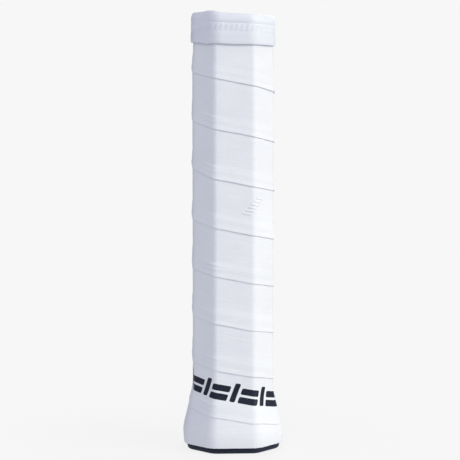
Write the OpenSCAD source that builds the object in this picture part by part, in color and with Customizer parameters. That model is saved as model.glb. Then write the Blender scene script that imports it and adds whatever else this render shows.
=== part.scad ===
// Racket handle wound with grip tape: the end of a tennis racket, from the butt to just above the collar.
// The origin is the middle of the butt end, +Z runs up the handle, X is the wide way across.
// Every layer is measured outwards from the pallet, so a section is named by its offset from it.

/* [Pallet] */
// Width of the moulded pallet, across the left and right flats
pallet_width = 32; // [31:0.1:34]
// Depth of the pallet, across the front and back flats
pallet_depth = 28.2; // [27:0.1:30]
// How far each slanted flat cuts into the corner of the section
corner_leg = 7.9; // [7.6:0.1:9]
// Radius on the eight edges of the pallet
corner_radius = 1.5; // [1.2:0.1:2]
// Height of the pallet's upper end above the butt
pallet_top = 194.3; // [193.5:0.1:195]
// Height of the pallet's lower end, which leaves a hollow behind the trap door
pallet_bottom = 12; // [10:0.5:14]
// Thickness of the glue line round the frame tubes
glue_line = 0.05; // [0.05:0.01:0.1]

/* [Frame tubes] */
// Width of one tube
tube_width = 12.6; // [11:0.1:12.8]
// Depth of one tube
tube_depth = 20; // [17:0.5:21]
// Wall thickness of a tube
tube_wall = 1.3; // [1:0.1:2]
// Radius on the corners of a tube
tube_corner = 5; // [3:0.5:6]
// Gap between the two tubes
tube_gap = 0.4; // [0.2:0.1:1]
// How far the tubes stand out of the pallet's upper end
tube_stand = 0.9; // [0.5:0.1:1.2]
// Length of the foam plug in each tube
plug_length = 12; // [8:1:20]

/* [Butt cap] */
// Height of the cap's skirt up the pallet
cap_height = 30; // [30:1:36]
// Wall thickness of the skirt, which is let into the pallet
skirt_wall = 1; // [0.8:0.1:1.2]
// Height where the flare leaves the straight handle
flare_start = 29; // [25:0.5:29.5]
// Height where the flare is widest
flare_peak = 6; // [5:0.5:8]
// How far the flare stands out on every side
flare_reach = 4.5; // [3.5:0.05:4.6]
// Share of the flare's height over which it curves in and out at each end
flare_ease = 0.2; // [0.15:0.05:0.4]
// How far the flare draws in again at the very end
flare_tuck = 0.8; // [0.4:0.1:1]
// Rounding on the rim of the end face
rim_round = 1.2; // [0.8:0.1:1.5]
// How far the rim stands out under the lower ends of the grips
rim_lip = 0.9; // [0.6:0.1:1.2]
// Thickness of the cap's end, door seat included
end_thickness = 3.2; // [3:0.1:4]
// Depth of the recess in the end face
end_recess = 0.8; // [0.5:0.1:1]

/* [Trap door] */
// Width of the door's pocket
door_width = 20; // [18:0.5:22]
// Depth of the door's pocket
door_depth = 16; // [14:0.5:17]
// Running gap round the door
door_gap = 0.15; // [0.1:0.05:0.2]
// Width of the ledge that the door seats on
ledge_width = 1.2; // [1:0.1:1.5]
// Thickness of the ledge
ledge_thickness = 0.8; // [0.6:0.1:1]
// Height of the two prongs behind the door plate
prong_height = 5; // [4:0.5:6]

/* [Base grip] */
// Thickness of the cushioned base grip
base_grip_thickness = 1.3; // [1.2:0.05:1.35]
// Rise of the base grip's helix in one turn
base_grip_lead = 25; // [23:0.5:27]
// Gap between neighbouring turns of the base grip
base_grip_gap = 0.3; // [0.2:0.1:0.5]
// Height of the base grip's upper end
base_grip_top = 192; // [190:0.5:192.5]

/* [Grip tape] */
// Thickness of the grip tape
tape_thickness = 0.4; // [0.3:0.05:0.4]
// Height of the tape measured along the handle
tape_height = 25.2; // [24.4:0.1:26.4]
// Height of the tape's lower edge round the butt
tape_bottom = 2.9; // [2.5:0.1:3.5]
// Height of the tape's upper end, under the collar
tape_top = 185.6; // [185:0.1:186]
// Height of the lowest visible seam at the middle of the front
first_seam = 15.2; // [15:0.1:16]
// Rise of the seam in the first turn
tape_lead = 20.6; // [20.4:0.1:20.8]
// How much the rise grows as the winding climbs, per turn squared
lead_growth = 0.137; // [0.12:0.001:0.14]

/* [Collar] */
// Height of the collar's lower edge at the middle
collar_bottom = 182.8; // [182.5:0.1:183]
// Height of the collar itself
collar_height = 13.5; // [13:0.1:14]
// Tilt of the collar's rings, lower on the right, in degrees
collar_tilt = 2.5; // [0:0.5:2.5]

/* [Hidden] */

// An octagon section is a ring of points, three to a corner, counter-clockwise from above.
corners = 8;
corner_points = 3;
ring_count = corners * corner_points;
face_turn = 360 / corners;
arc_step = face_turn / (corner_points - 1);
leg_growth = 2 - sqrt(2);

// Offsets from the pallet, outwards.
adhesive_inner = 0.02;
adhesive_thickness = 0.14;
base_grip_inner = 0.2;
base_grip_outer = base_grip_inner + base_grip_thickness;
finishing_inner = base_grip_outer + 0.02;
finishing_thickness = 0.08;
tape_inner = base_grip_outer + 0.14;
layer_gap = 0.04;
flare_slack = 0.1;

// Rows of points across the strips, and how the lap steps down past the edge beneath it.
lap_rows = 3;
body_rows = 7;
base_grip_rows = 8;
lap_clear = 0.15;
lap_ramp = 1.1;
tape_start_station = -40;
tape_end_station = 182;
base_grip_start_station = -19;
base_grip_end_station = 176;
base_grip_bottom = tape_bottom + 0.5;

tube_shift = (tube_width + tube_gap) / 2;
tube_bottom = pallet_bottom - 0.5;
tube_top = pallet_top + tube_stand;
plug_bottom = tube_bottom + 0.5;
web_reach = tube_depth / 2 - tube_corner * 0.6;

finishing_low = 180;
finishing_high = base_grip_top + 0.4;

staple_crown = 8;
staple_wire = 0.5;
staple_leg = 3.2;
staple_stand = 0.1;
staple_height = cap_height - 2.6;

door_leg = 4.4;
door_corner = 0.6;
door_seat = end_thickness - ledge_thickness;
plate_thickness = door_seat - end_recess - 0.05;
prong_width = 6;
prong_thickness = 1.2;
notch_radius = 2.5;
rim_width = 3;

// ---- Sections ----

// Distance from the axis to flat k of an octagon. Flats 0, 2, 4 and 6 face +X, +Y, -X and -Y.
function flat_distance(k, half_x, half_y, leg) =
    k % 2 == 1 ? (half_x + half_y - leg) / sqrt(2) : k % 4 == 0 ? half_x : half_y;

// Where the two flats that meet after flat k cross, once both are drawn in by the corner radius.
function corner_centre(k, half_x, half_y, leg, radius) =
    let (
        a = face_turn * k,
        b = face_turn * (k + 1),
        da = flat_distance(k % corners, half_x, half_y, leg) - radius,
        db = flat_distance((k + 1) % corners, half_x, half_y, leg) - radius
    )
    [(da * sin(b) - db * sin(a)) / sin(face_turn), (db * cos(a) - da * cos(b)) / sin(face_turn)];

function octagon(half_x, half_y, leg, radius) = [
    for (k = [0 : corners - 1], j = [0 : corner_points - 1])
        let (angle = face_turn * k + arc_step * j)
        corner_centre(k, half_x, half_y, leg, radius) + radius * [cos(angle), sin(angle)]
];

// The handle's section at an offset from the pallet.
function handle_section(offset_out) = octagon(
    pallet_width / 2 + offset_out,
    pallet_depth / 2 + offset_out,
    corner_leg + offset_out * leg_growth,
    corner_radius + offset_out
);

function door_section(grow) =
    octagon(door_width / 2 + grow, door_depth / 2 + grow, door_leg + grow * leg_growth, door_corner);

function rounded_rectangle(width, depth, radius) = [
    for (quarter = [0 : 3], step = [0 : 5])
        let (
            angle = 90 * quarter + 18 * step,
            side_x = quarter == 0 || quarter == 3 ? 1 : -1,
            side_y = quarter < 2 ? 1 : -1
        )
        [side_x * (width / 2 - radius), side_y * (depth / 2 - radius)]
            + radius * [cos(angle), sin(angle)]
];

function raised(section, z) = [for (p = section) [p[0], p[1], z]];

// From 0 to 1 along a straight slope that curves in and out at its ends.
function eased(share) =
    share < flare_ease ? pow(share, 2) / (2 * flare_ease * (1 - flare_ease))
    : share > 1 - flare_ease ? 1 - eased(1 - share)
    : (share - flare_ease / 2) / (1 - flare_ease);

// How far the butt cap stands out of the pallet at a height: a long swell, then a slight tuck.
function flare(z) =
    z >= flare_start ? 0
    : z >= flare_peak ? flare_reach * eased((flare_start - z) / (flare_start - flare_peak))
    : flare_reach - flare_tuck * pow((flare_peak - z) / flare_peak, 2);

// ---- Solids from rings ----

// A closed tube of section: rings follow the outline up the outside and down the inside.
module ring_solid(rings) {
    count = len(rings);
    polyhedron(
        points = [for (ring = rings, p = ring) p],
        faces = [
            for (i = [0 : count - 1], j = [0 : ring_count - 1])
                let (next_i = (i + 1) % count, next_j = (j + 1) % ring_count)
                [
                    i * ring_count + j, next_i * ring_count + j,
                    next_i * ring_count + next_j, i * ring_count + next_j
                ]
        ],
        convexity = 6
    );
}

// A strip: stations run clockwise from above, rows run upwards, and each row has an inner and an outer point.
module strip_solid(inner, outer) {
    stations = len(inner);
    rows = len(inner[0]);
    outer_start = stations * rows;
    function in_point(s, r) = s * rows + r;
    function out_point(s, r) = outer_start + s * rows + r;
    last = stations - 1;
    top = rows - 1;
    polyhedron(
        points = concat([for (line = inner, p = line) p], [for (line = outer, p = line) p]),
        faces = concat(
            [for (s = [0 : last - 1], r = [0 : top - 1])
                [out_point(s, r), out_point(s + 1, r), out_point(s + 1, r + 1), out_point(s, r + 1)]],
            [for (s = [0 : last - 1], r = [0 : top - 1])
                [in_point(s, r), in_point(s, r + 1), in_point(s + 1, r + 1), in_point(s + 1, r)]],
            [for (s = [0 : last - 1])
                [out_point(s + 1, 0), out_point(s, 0), in_point(s, 0), in_point(s + 1, 0)]],
            [for (s = [0 : last - 1])
                [out_point(s, top), out_point(s + 1, top), in_point(s + 1, top), in_point(s, top)]],
            [for (r = [0 : top - 1])
                [out_point(0, r), out_point(0, r + 1), in_point(0, r + 1), in_point(0, r)]],
            [for (r = [0 : top - 1])
                [out_point(last, r + 1), out_point(last, r), in_point(last, r), in_point(last, r + 1)]]
        ),
        convexity = 10
    );
}

// ---- The helix ----

// A station is a corner point of the section, counted clockwise from the left end of the front flat.
front_left = 5 * corner_points + corner_points - 1;
path_section = handle_section(tape_inner + tape_thickness);
function station_point(m) = path_section[(front_left - m + 2 * ring_count) % ring_count];
function path_length(m) = m == 0 ? norm(station_point(0) - station_point(-1)) / 2
    : path_length(m - 1) + norm(station_point(m) - station_point(m - 1));
perimeter = path_length(ring_count - 1) + path_length(0);
path_fractions = [for (m = [0 : ring_count - 1]) path_length(m) / perimeter];

// How far round a station is, in turns from the middle of the front. It grows as the strip climbs.
function station_turn(q) =
    let (whole = floor(q / ring_count)) whole + path_fractions[q - whole * ring_count];

// The corner that a station belongs to, with its direction outwards.
function strip_point(q, offset_out, z) =
    let (
        whole = floor(q / ring_count),
        index = (front_left - (q - whole * ring_count) + ring_count) % ring_count,
        k = floor(index / corner_points),
        angle = face_turn * k + arc_step * (index % corner_points),
        centre = corner_centre(k, pallet_width / 2, pallet_depth / 2, corner_leg, corner_radius),
        reach = corner_radius + offset_out + flare(z)
    )
    [centre[0] + reach * cos(angle), centre[1] + reach * sin(angle), z];

// ---- Grip tape ----

function seam_height(turn) = first_seam + tape_lead * turn + lead_growth * turn * turn;
function tape_low(turn) = max(tape_bottom, seam_height(turn));
function tape_high(turn) = min(tape_top, seam_height(turn) + tape_height);
function tape_laps(q) = q - ring_count >= tape_start_station - 1;
function lap_end(q) =
    tape_laps(q)
        ? min(tape_high(station_turn(q) - 1) + lap_clear, tape_high(station_turn(q)) - lap_ramp - 0.3)
        : tape_low(station_turn(q)) + 1;

// Heights of a station's rows: the lap over the turn below, then the rest of the width.
function tape_rows(q) =
    let (
        low = tape_low(station_turn(q)),
        lap = lap_end(q),
        high = tape_high(station_turn(q))
    )
    concat(
        [for (i = [0 : lap_rows - 1]) low + (lap - low) * i / (lap_rows - 1)],
        [for (i = [0 : body_rows - 1]) lap + lap_ramp + (high - lap - lap_ramp) * i / (body_rows - 1)]
    );

function tape_raise(q, row, z) =
    row < lap_rows && tape_laps(q)
        ? tape_thickness + layer_gap + (z < cap_height ? flare_slack : 0)
        : 0;

function tape_surface(extra) = [
    for (q = [tape_start_station : tape_end_station])
        let (heights = tape_rows(q))
        [for (row = [0 : len(heights) - 1])
            let (z = heights[row])
            strip_point(q, tape_inner + tape_raise(q, row, z) + extra, z)]
];

module grip_tape() {
    color([0.93, 0.93, 0.96])
        strip_solid(tape_surface(0), tape_surface(tape_thickness));
}

// The adhesive tab under the tapered start of the tape.
module grip_tape_start_tab() {
    tab_stations = 5;
    tab_rows = 12;
    tab_thickness = 0.04;
    tab_inner = base_grip_outer + 0.04;
    function tab_surface(extra) = [
        for (q = [tape_start_station + 1 : tape_start_station + tab_stations])
            let (low = tape_bottom + 0.8, high = tape_high(station_turn(q)) - 0.6)
            [for (row = [0 : tab_rows - 1])
                let (z = low + (high - low) * row / (tab_rows - 1))
                strip_point(q, tab_inner + extra, z)]
    ];
    color([0.85, 0.8, 0.65])
        strip_solid(tab_surface(0), tab_surface(tab_thickness));
}

// ---- Base grip ----

function base_seam(turn) = base_grip_bottom + base_grip_lead * turn;
function base_grip_surface(offset_out) = [
    for (q = [base_grip_start_station : base_grip_end_station])
        let (
            turn = station_turn(q),
            low = max(base_grip_bottom, base_seam(turn)),
            high = min(base_grip_top, base_seam(turn) + base_grip_lead - base_grip_gap)
        )
        [for (row = [0 : base_grip_rows - 1])
            let (z = low + (high - low) * row / (base_grip_rows - 1))
            strip_point(q, offset_out, z)]
];

module base_grip() {
    color([0.16, 0.16, 0.18])
        strip_solid(base_grip_surface(base_grip_inner), base_grip_surface(base_grip_outer));
}

module base_grip_finishing_tape() {
    color([0.1, 0.1, 0.12])
        translate([0, 0, finishing_low])
            linear_extrude(finishing_high - finishing_low)
                difference() {
                    polygon(handle_section(finishing_inner + finishing_thickness));
                    polygon(handle_section(finishing_inner));
                }
}

// ---- Pallet and frame tubes ----

module tube_outline(grow) {
    polygon(rounded_rectangle(tube_width + 2 * grow, tube_depth + 2 * grow, tube_corner + grow));
}

// One length of a pallet half. side is -1 for the front half and 1 for the back half.
module pallet_length(side, offset_out, low, high) {
    reach = pallet_width;
    translate([0, 0, low])
        linear_extrude(high - low)
            difference() {
                polygon(handle_section(offset_out));
                translate([-reach, side > 0 ? -reach : 0])
                    square([2 * reach, reach]);
                for (shift = [-tube_shift, tube_shift])
                    translate([shift, 0])
                        tube_outline(glue_line);
                // The web between the tubes is too thin to mould, so it is left out.
                square([2 * tube_shift, 2 * web_reach], center = true);
            }
}

module pallet_half(side) {
    rebate = skirt_wall + glue_line;
    pallet_length(side, -rebate, pallet_bottom, cap_height + glue_line);
    pallet_length(side, 0, cap_height + glue_line, pallet_top);
}

module pallet_front() {
    color([0.82, 0.78, 0.66])
        pallet_half(-1);
}

module pallet_back() {
    color([0.78, 0.74, 0.62])
        pallet_half(1);
}

// Double-sided tape along the four wide flats, from the cap's skirt up.
module pallet_adhesive() {
    low = cap_height + 1;
    length = finishing_low - low - 4;
    wide = pallet_width - 2 * corner_leg - 2;
    narrow = pallet_depth - 2 * corner_leg - 2;
    color([0.95, 0.93, 0.8])
        for (side = [-1, 1]) {
            translate([
                -wide / 2,
                side * (pallet_depth / 2 + adhesive_inner + adhesive_thickness / 2) - adhesive_thickness / 2,
                low
            ])
                cube([wide, adhesive_thickness, length]);
            translate([
                side * (pallet_width / 2 + adhesive_inner + adhesive_thickness / 2) - adhesive_thickness / 2,
                -narrow / 2,
                low
            ])
                cube([adhesive_thickness, narrow, length]);
        }
}

module shaft_tube(side) {
    color([0.09, 0.09, 0.1])
        translate([side * tube_shift, 0, tube_bottom])
            linear_extrude(tube_top - tube_bottom)
                difference() {
                    tube_outline(0);
                    tube_outline(-tube_wall);
                }
}

module shaft_tube_left() {
    shaft_tube(-1);
}

module shaft_tube_right() {
    shaft_tube(1);
}

module tube_plug(side) {
    color([0.9, 0.86, 0.7])
        translate([side * tube_shift, 0, plug_bottom])
            linear_extrude(plug_length)
                tube_outline(-tube_wall - glue_line);
}

module tube_plug_left() {
    tube_plug(-1);
}

module tube_plug_right() {
    tube_plug(1);
}

// ---- Butt cap, door and staples ----

module butt_cap() {
    flare_steps = 11;
    rim_start = flare(0);
    rim_out = rim_start + rim_lip;
    lip_top = tape_bottom - 0.3;
    outside = concat(
        [
            raised(handle_section(rim_out - rim_round), 0),
            raised(handle_section(rim_out - rim_round * 0.3), rim_round * 0.3),
            raised(handle_section(flare(rim_round) + rim_lip), rim_round),
            raised(handle_section(flare(lip_top) + rim_lip), lip_top - 0.2),
            raised(handle_section(flare(lip_top)), lip_top)
        ],
        [for (i = [0 : 2])
            let (z = tape_bottom + (flare_peak - tape_bottom) * i / 3)
            raised(handle_section(flare(z)), z)],
        [for (i = [0 : flare_steps])
            let (z = flare_peak + (flare_start - flare_peak) * i / flare_steps)
            raised(handle_section(flare(z)), z)]
    );
    inside = [
        raised(handle_section(0), cap_height),
        raised(handle_section(-skirt_wall), cap_height),
        raised(handle_section(-skirt_wall), end_thickness),
        raised(door_section(-ledge_width), end_thickness),
        raised(door_section(-ledge_width), door_seat),
        raised(door_section(0), door_seat),
        raised(door_section(0), end_recess),
        raised(handle_section(rim_start - rim_round - rim_width), end_recess),
        raised(handle_section(rim_start - rim_round - rim_width), 0)
    ];
    color([0.1, 0.12, 0.19])
        ring_solid(concat(outside, inside));
}

module butt_cap_door() {
    prong_reach = door_depth / 2 - ledge_width - door_gap;
    color([0.12, 0.14, 0.22]) {
        difference() {
            translate([0, 0, end_recess])
                linear_extrude(plate_thickness)
                    polygon(door_section(-door_gap));
            // Notch for a coin or a nail at the front edge.
            translate([0, -door_depth / 2, end_recess - notch_radius * 0.7])
                rotate([0, 90, 0])
                    cylinder(h = prong_width, r = notch_radius, center = true, $fn = 48);
        }
        for (side = [-1, 1])
            translate([
                -prong_width / 2,
                side * (prong_reach - prong_thickness / 2) - prong_thickness / 2,
                end_recess + plate_thickness
            ])
                cube([prong_width, prong_thickness, prong_height]);
    }
}

// A staple lies across a flat, crown outwards along -Y, with both legs driven inwards.
module staple() {
    translate([-staple_crown / 2, -staple_stand, -staple_wire / 2])
        cube([staple_crown, staple_wire, staple_wire]);
    for (side = [-1, 1])
        translate([side * (staple_crown - staple_wire) / 2 - staple_wire / 2, -staple_stand, -staple_wire / 2])
            cube([staple_wire, staple_leg, staple_wire]);
}

// One staple in each of the four wide flats of the skirt.
module butt_cap_staples() {
    color([0.75, 0.76, 0.78])
        for (quarter = [0 : 3])
            rotate([0, 0, 90 * quarter])
                translate([0, quarter % 2 == 0 ? -pallet_depth / 2 : -pallet_width / 2, staple_height])
                    staple();
}

// The staple at the tapered start of the base grip, low on the left of the flare.
module base_grip_staple() {
    height = base_grip_bottom + 3;
    reach = pallet_width / 2 + base_grip_outer + flare(height) - staple_wire * 0.6;
    color([0.75, 0.76, 0.78])
        rotate([0, 0, -90])
            translate([0, -reach, height])
                staple();
}

// ---- Collar ----

// A ring of the collar, tilted so that it lies lower on the right.
function collar_ring(offset_out, height) = [
    for (p = handle_section(offset_out))
        [p[0], p[1], collar_bottom + height - p[0] * tan(collar_tilt)]
];

module collar() {
    lip_inner = 2.6;
    bore_inner = base_grip_outer + 0.25;
    crown = collar_height;
    // Up the outside: lip, channel for the raised marks, upper band and the rounded top edge.
    outside = [
        [2.85, 0], [3.15, 0.4], [3.2, 1.6], [3.1, 3], [2.8, 4.5], [2.65, 5], [2.65, 9.5],
        [2.5, 9.9], [2.7, 10.4], [2.65, crown - 1.4], [2.4, crown - 0.5], [2, crown]
    ];
    inside = [
        [bore_inner, crown], [bore_inner, 5.2], [lip_inner, 4.2], [lip_inner, 0]
    ];
    color([0.88, 0.89, 0.95])
        ring_solid([for (p = concat(outside, inside)) collar_ring(p[0], p[1])]);
}

shaft_tube_left();
shaft_tube_right();
tube_plug_left();
tube_plug_right();
pallet_front();
pallet_back();
pallet_adhesive();
butt_cap();
butt_cap_door();
butt_cap_staples();
base_grip();
base_grip_staple();
base_grip_finishing_tape();
grip_tape();
grip_tape_start_tab();
collar();
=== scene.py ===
import math

import bpy
import numpy as np
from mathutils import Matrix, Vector


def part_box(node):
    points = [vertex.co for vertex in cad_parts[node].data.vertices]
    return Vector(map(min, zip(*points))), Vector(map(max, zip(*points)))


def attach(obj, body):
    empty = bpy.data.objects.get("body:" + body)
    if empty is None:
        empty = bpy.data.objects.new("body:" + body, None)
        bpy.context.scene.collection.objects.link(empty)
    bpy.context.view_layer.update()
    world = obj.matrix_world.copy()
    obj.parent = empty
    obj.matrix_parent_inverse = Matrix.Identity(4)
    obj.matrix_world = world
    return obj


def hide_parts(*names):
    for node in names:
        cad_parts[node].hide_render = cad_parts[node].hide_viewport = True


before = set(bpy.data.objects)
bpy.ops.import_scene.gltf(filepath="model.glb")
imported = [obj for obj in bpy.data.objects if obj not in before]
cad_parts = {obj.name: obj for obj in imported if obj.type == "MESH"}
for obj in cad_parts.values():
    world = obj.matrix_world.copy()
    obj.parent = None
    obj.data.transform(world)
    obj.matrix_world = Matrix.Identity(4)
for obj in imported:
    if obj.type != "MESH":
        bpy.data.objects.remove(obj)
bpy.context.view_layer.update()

# The looks of a racket handle wound with white grip tape. Shapes are worked out in millimetres, outwards
# from the moulded pallet, and written to Blender in metres.
MM = 0.001


def box_mm(node):
    """A CAD node's lowest and highest corner, in millimetres."""
    low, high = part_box(node)
    return low / MM, high / MM


# ---- Sizes, from the frame where it has them ----

pallet_high_corner = box_mm("pallet_back")[1]
cap_high_corner = box_mm("butt_cap")[1]
tape_low_corner, tape_high_corner = box_mm("grip_tape")
base_low_corner, base_high_corner = box_mm("base_grip")
band_low_corner, band_high_corner = box_mm("base_grip_finishing_tape")
collar_low_corner, collar_high_corner = box_mm("collar")
door_low_corner, door_high_corner = box_mm("butt_cap_door")

# The pallet's section: half its width and depth, how far its corners are cut back, and their rounding. A cut
# grows by LEG_GROWTH for each millimetre that the section is offset outwards.
HALF_X = pallet_high_corner.x
HALF_Y = pallet_high_corner.y
CORNER_LEG = 7.9
CORNER_RADIUS = 1.5
LEG_GROWTH = 2 - math.sqrt(2)

# The butt cap. Its flare swells from FLARE_START down to FLARE_PEAK and tucks in again below that.
CAP_HEIGHT = cap_high_corner.z
FLARE_REACH = 4.5
FLARE_START = 29.0
FLARE_PEAK = 6.0
FLARE_EASE = 0.2
FLARE_TUCK = 0.8
RIM_LIP = 0.9
RIM_ROUND = 1.2
RIM_WIDTH = 3.0
SKIRT_WALL = 1.0
END_THICKNESS = 3.2
END_RECESS = door_low_corner.z
DOOR_SEAT = 2.4
LEDGE = 1.2
DOOR_GAP = 0.15
DOOR_HALF_X = door_high_corner.x + DOOR_GAP
DOOR_HALF_Y = door_high_corner.y + DOOR_GAP
DOOR_LEG = 4.4
DOOR_CORNER = 0.6
PRONG_HEIGHT = 5.0
PRONG_HALF_WIDTH = 3

# The base grip's faces as offsets from the pallet, the height of one turn, and the gap between two.
BASE_INNER = 0.2
BASE_OUTER = 1.5
BASE_LEAD = 25.0
BASE_GAP = 0.3
BASE_BOTTOM = base_low_corner.z
BASE_TOP = base_high_corner.z

# The overgrip. Its lower edge, the seam, is at FIRST_SEAM in the middle of the front, and climbs by about
# TAPE_LEAD in the next turn and by a little more in each turn after that.
TAPE_INNER = 1.64
TAPE_THICKNESS = 0.4
TAPE_HEIGHT = 25.2
TAPE_BOTTOM = tape_low_corner.z
TAPE_TOP = tape_high_corner.z
LAYER_GAP = 0.04
FIRST_SEAM = 15.2
TAPE_LEAD = 20.6
LEAD_GROWTH = 0.137

COLLAR_TILT = math.radians(2.5)
COLLAR_BOTTOM = collar_low_corner.z + collar_high_corner.x * math.tan(COLLAR_TILT)
SQUEEZE = 0.35
SQUEEZE_START = 171
SQUEEZE_LENGTH = 9


# ---- The eight-sided section ----

class Octagon:
    """A rounded octagon, sampled along its outline.

    Each sample is a base point, on the line through the corners' centres, and a direction outwards. front is
    the sample in the middle of the front flat.
    """

    def __init__(self, half_x, half_y, leg, radius, flat_steps=8, arc_steps=6):
        self.radius = radius
        angles = np.radians(45.0) * np.arange(9)
        slanted = (half_x + half_y - leg) / math.sqrt(2)
        distances = np.array([half_x, slanted, half_y, slanted] * 2 + [half_x]) - radius
        centres = np.array([
            self.crossing(angles[k], angles[k + 1], distances[k], distances[k + 1]) for k in range(8)
        ])
        base, angle_out = [], []
        for k in range(8):
            for i in range(flat_steps):
                share = i / flat_steps
                base.append(centres[k - 1] * (1 - share) + centres[k] * share)
                angle_out.append(angles[k])
            for i in range(arc_steps):
                base.append(centres[k])
                angle_out.append(angles[k] + np.radians(45.0) * i / arc_steps)
        self.base = np.array(base)
        self.out = np.stack([np.cos(angle_out), np.sin(angle_out)], axis=1)
        self.count = len(base)
        self.front = 6 * (flat_steps + arc_steps) + flat_steps // 2

    @staticmethod
    def crossing(angle_a, angle_b, distance_a, distance_b):
        """Where two lines cross, each given by its normal's angle and its distance from the middle."""
        sine = math.sin(angle_b - angle_a)
        return np.array([
            (distance_a * math.sin(angle_b) - distance_b * math.sin(angle_a)) / sine,
            (distance_b * math.cos(angle_a) - distance_a * math.cos(angle_b)) / sine,
        ])

    def ring(self, grow, z):
        """The outline grown by an offset, as points at height z. grow and z may vary along the outline."""
        reach = (self.radius + np.broadcast_to(grow, self.count))[:, None]
        flat = self.base + self.out * reach
        return np.column_stack([flat, np.broadcast_to(z, self.count)])


def handle_octagon(flat_steps=8, arc_steps=6):
    """The pallet's section."""
    return Octagon(HALF_X, HALF_Y, CORNER_LEG, CORNER_RADIUS, flat_steps, arc_steps)


def door_octagon(grow):
    """The door's opening, offset outwards with its corners' rounding kept."""
    return Octagon(DOOR_HALF_X + grow, DOOR_HALF_Y + grow, DOOR_LEG + grow * LEG_GROWTH, DOOR_CORNER)


def smooth_step(x):
    """0 below 0, 1 above 1, and a smooth curve between."""
    x = np.clip(x, 0, 1)
    return x * x * (3 - 2 * x)


def eased(share):
    """From 0 to 1 along a straight slope that curves in and out at its ends."""
    near = np.clip(np.minimum(share, 1 - share), 0, 0.5)
    curved = near ** 2 / (2 * FLARE_EASE * (1 - FLARE_EASE))
    rise = np.where(near < FLARE_EASE, curved, (near - FLARE_EASE / 2) / (1 - FLARE_EASE))
    return np.where(share < 0.5, rise, 1 - rise)


def flare(z):
    """How far the butt cap stands out of the pallet at a height."""
    z = np.asarray(z, float)
    swell = FLARE_REACH * eased((FLARE_START - z) / (FLARE_START - FLARE_PEAK))
    tuck = FLARE_REACH - FLARE_TUCK * ((FLARE_PEAK - z) / FLARE_PEAK) ** 2
    return np.where(z >= FLARE_START, 0, np.where(z >= FLARE_PEAK, swell, tuck))


def squeeze(z):
    """How far the collar presses the soft layers in, near the top."""
    return SQUEEZE * smooth_step((np.asarray(z, float) - SQUEEZE_START) / SQUEEZE_LENGTH)


# ---- Mesh helpers ----

def new_piece(name, points, faces, sharp_angle=38):
    """A shaded object from points in millimetres. Edges sharper than sharp_angle, in degrees, stay sharp."""
    mesh = bpy.data.meshes.new(name)
    mesh.from_pydata((np.asarray(points) * MM).tolist(), [], faces)
    mesh.update()
    mesh.polygons.foreach_set("use_smooth", [True] * len(mesh.polygons))
    mesh.set_sharp_from_angle(angle=math.radians(sharp_angle))
    piece = bpy.data.objects.new(name, mesh)
    bpy.context.scene.collection.objects.link(piece)
    return piece


def set_uv(piece, vertex_uv):
    """Gives each vertex a place on the flat material, in metres along and across it."""
    mesh = piece.data
    layer = mesh.uv_layers.new(name="flat")
    loop_vertex = np.empty(len(mesh.loops), np.int32)
    mesh.loops.foreach_get("vertex_index", loop_vertex)
    layer.data.foreach_set("uv", (np.asarray(vertex_uv) * MM)[loop_vertex].ravel())


def ring_faces(rows, columns, closed_rows):
    """Quads of a grid whose columns close on themselves. Rows climb the outside of the shape."""
    faces = []
    for i in range(rows if closed_rows else rows - 1):
        this_row = i * columns
        next_row = (i + 1) % rows * columns
        for j in range(columns):
            k = (j + 1) % columns
            faces.append((this_row + j, this_row + k, next_row + k, next_row + j))
    return faces


def loft(name, rings, closed=True, caps=False, sharp_angle=38):
    """Skins a list of rings. closed joins the last ring to the first, caps fills the first and the last."""
    columns = len(rings[0])
    faces = ring_faces(len(rings), columns, closed)
    if caps:
        faces.append(tuple(reversed(range(columns))))
        faces.append(tuple(range((len(rings) - 1) * columns, len(rings) * columns)))
    return new_piece(name, np.concatenate(rings), faces, sharp_angle)


def rounded_curve(points, steps):
    """A closed Catmull-Rom curve through control points."""
    points = np.asarray(points, float)
    count = len(points)
    curve = []
    for i in range(count):
        p0, p1, p2, p3 = (points[(i + k) % count] for k in (-1, 0, 1, 2))
        for step in range(steps):
            t = step / steps
            curve.append(0.5 * (
                2 * p1 + (p2 - p0) * t + (2 * p0 - 5 * p1 + 4 * p2 - p3) * t ** 2
                + (3 * p1 - p0 - 3 * p2 + p3) * t ** 3
            ))
    return np.array(curve)


# ---- The helix ----

class Winding:
    """Walks clockwise round the handle from the middle of the front, one turn after another.

    A turn's fractions are measured along the tape's outer face.
    """

    def __init__(self, flat_steps=8, arc_steps=6):
        section = handle_octagon(flat_steps, arc_steps)
        order = (section.front - np.arange(section.count + 1)) % section.count
        outline = section.base + section.out * (section.radius + TAPE_INNER + TAPE_THICKNESS)
        steps = np.linalg.norm(np.diff(outline[order], axis=0), axis=1)
        self.perimeter = steps.sum()
        self.fractions = np.concatenate([[0], np.cumsum(steps)]) / self.perimeter
        self.base = section.base[order]
        self.out = section.out[order]
        self.count = section.count

    def stations(self, start, end):
        """Turns from start to end, at every corner and flat sample between."""
        too_close = 1e-4
        whole = np.arange(math.floor(start), math.ceil(end) + 1)
        turns = (whole[:, None] + self.fractions[None, :-1]).ravel()
        turns = turns[(turns > start + too_close) & (turns < end - too_close)]
        return np.concatenate([[start], turns, [end]])

    def place(self, turn, offset, z):
        """The point a given offset out of the pallet, at a turn and a height. Arrays may be any shape."""
        turn, offset, z = np.broadcast_arrays(turn, offset, z)
        part = turn - np.floor(turn)
        base = [np.interp(part, self.fractions, self.base[:, i]) for i in (0, 1)]
        out = [np.interp(part, self.fractions, self.out[:, i]) for i in (0, 1)]
        length = np.hypot(out[0], out[1])
        reach = CORNER_RADIUS + offset + flare(z) - squeeze(z)
        return np.stack([base[i] + out[i] / length * reach for i in (0, 1)] + [z], axis=-1)


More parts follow.
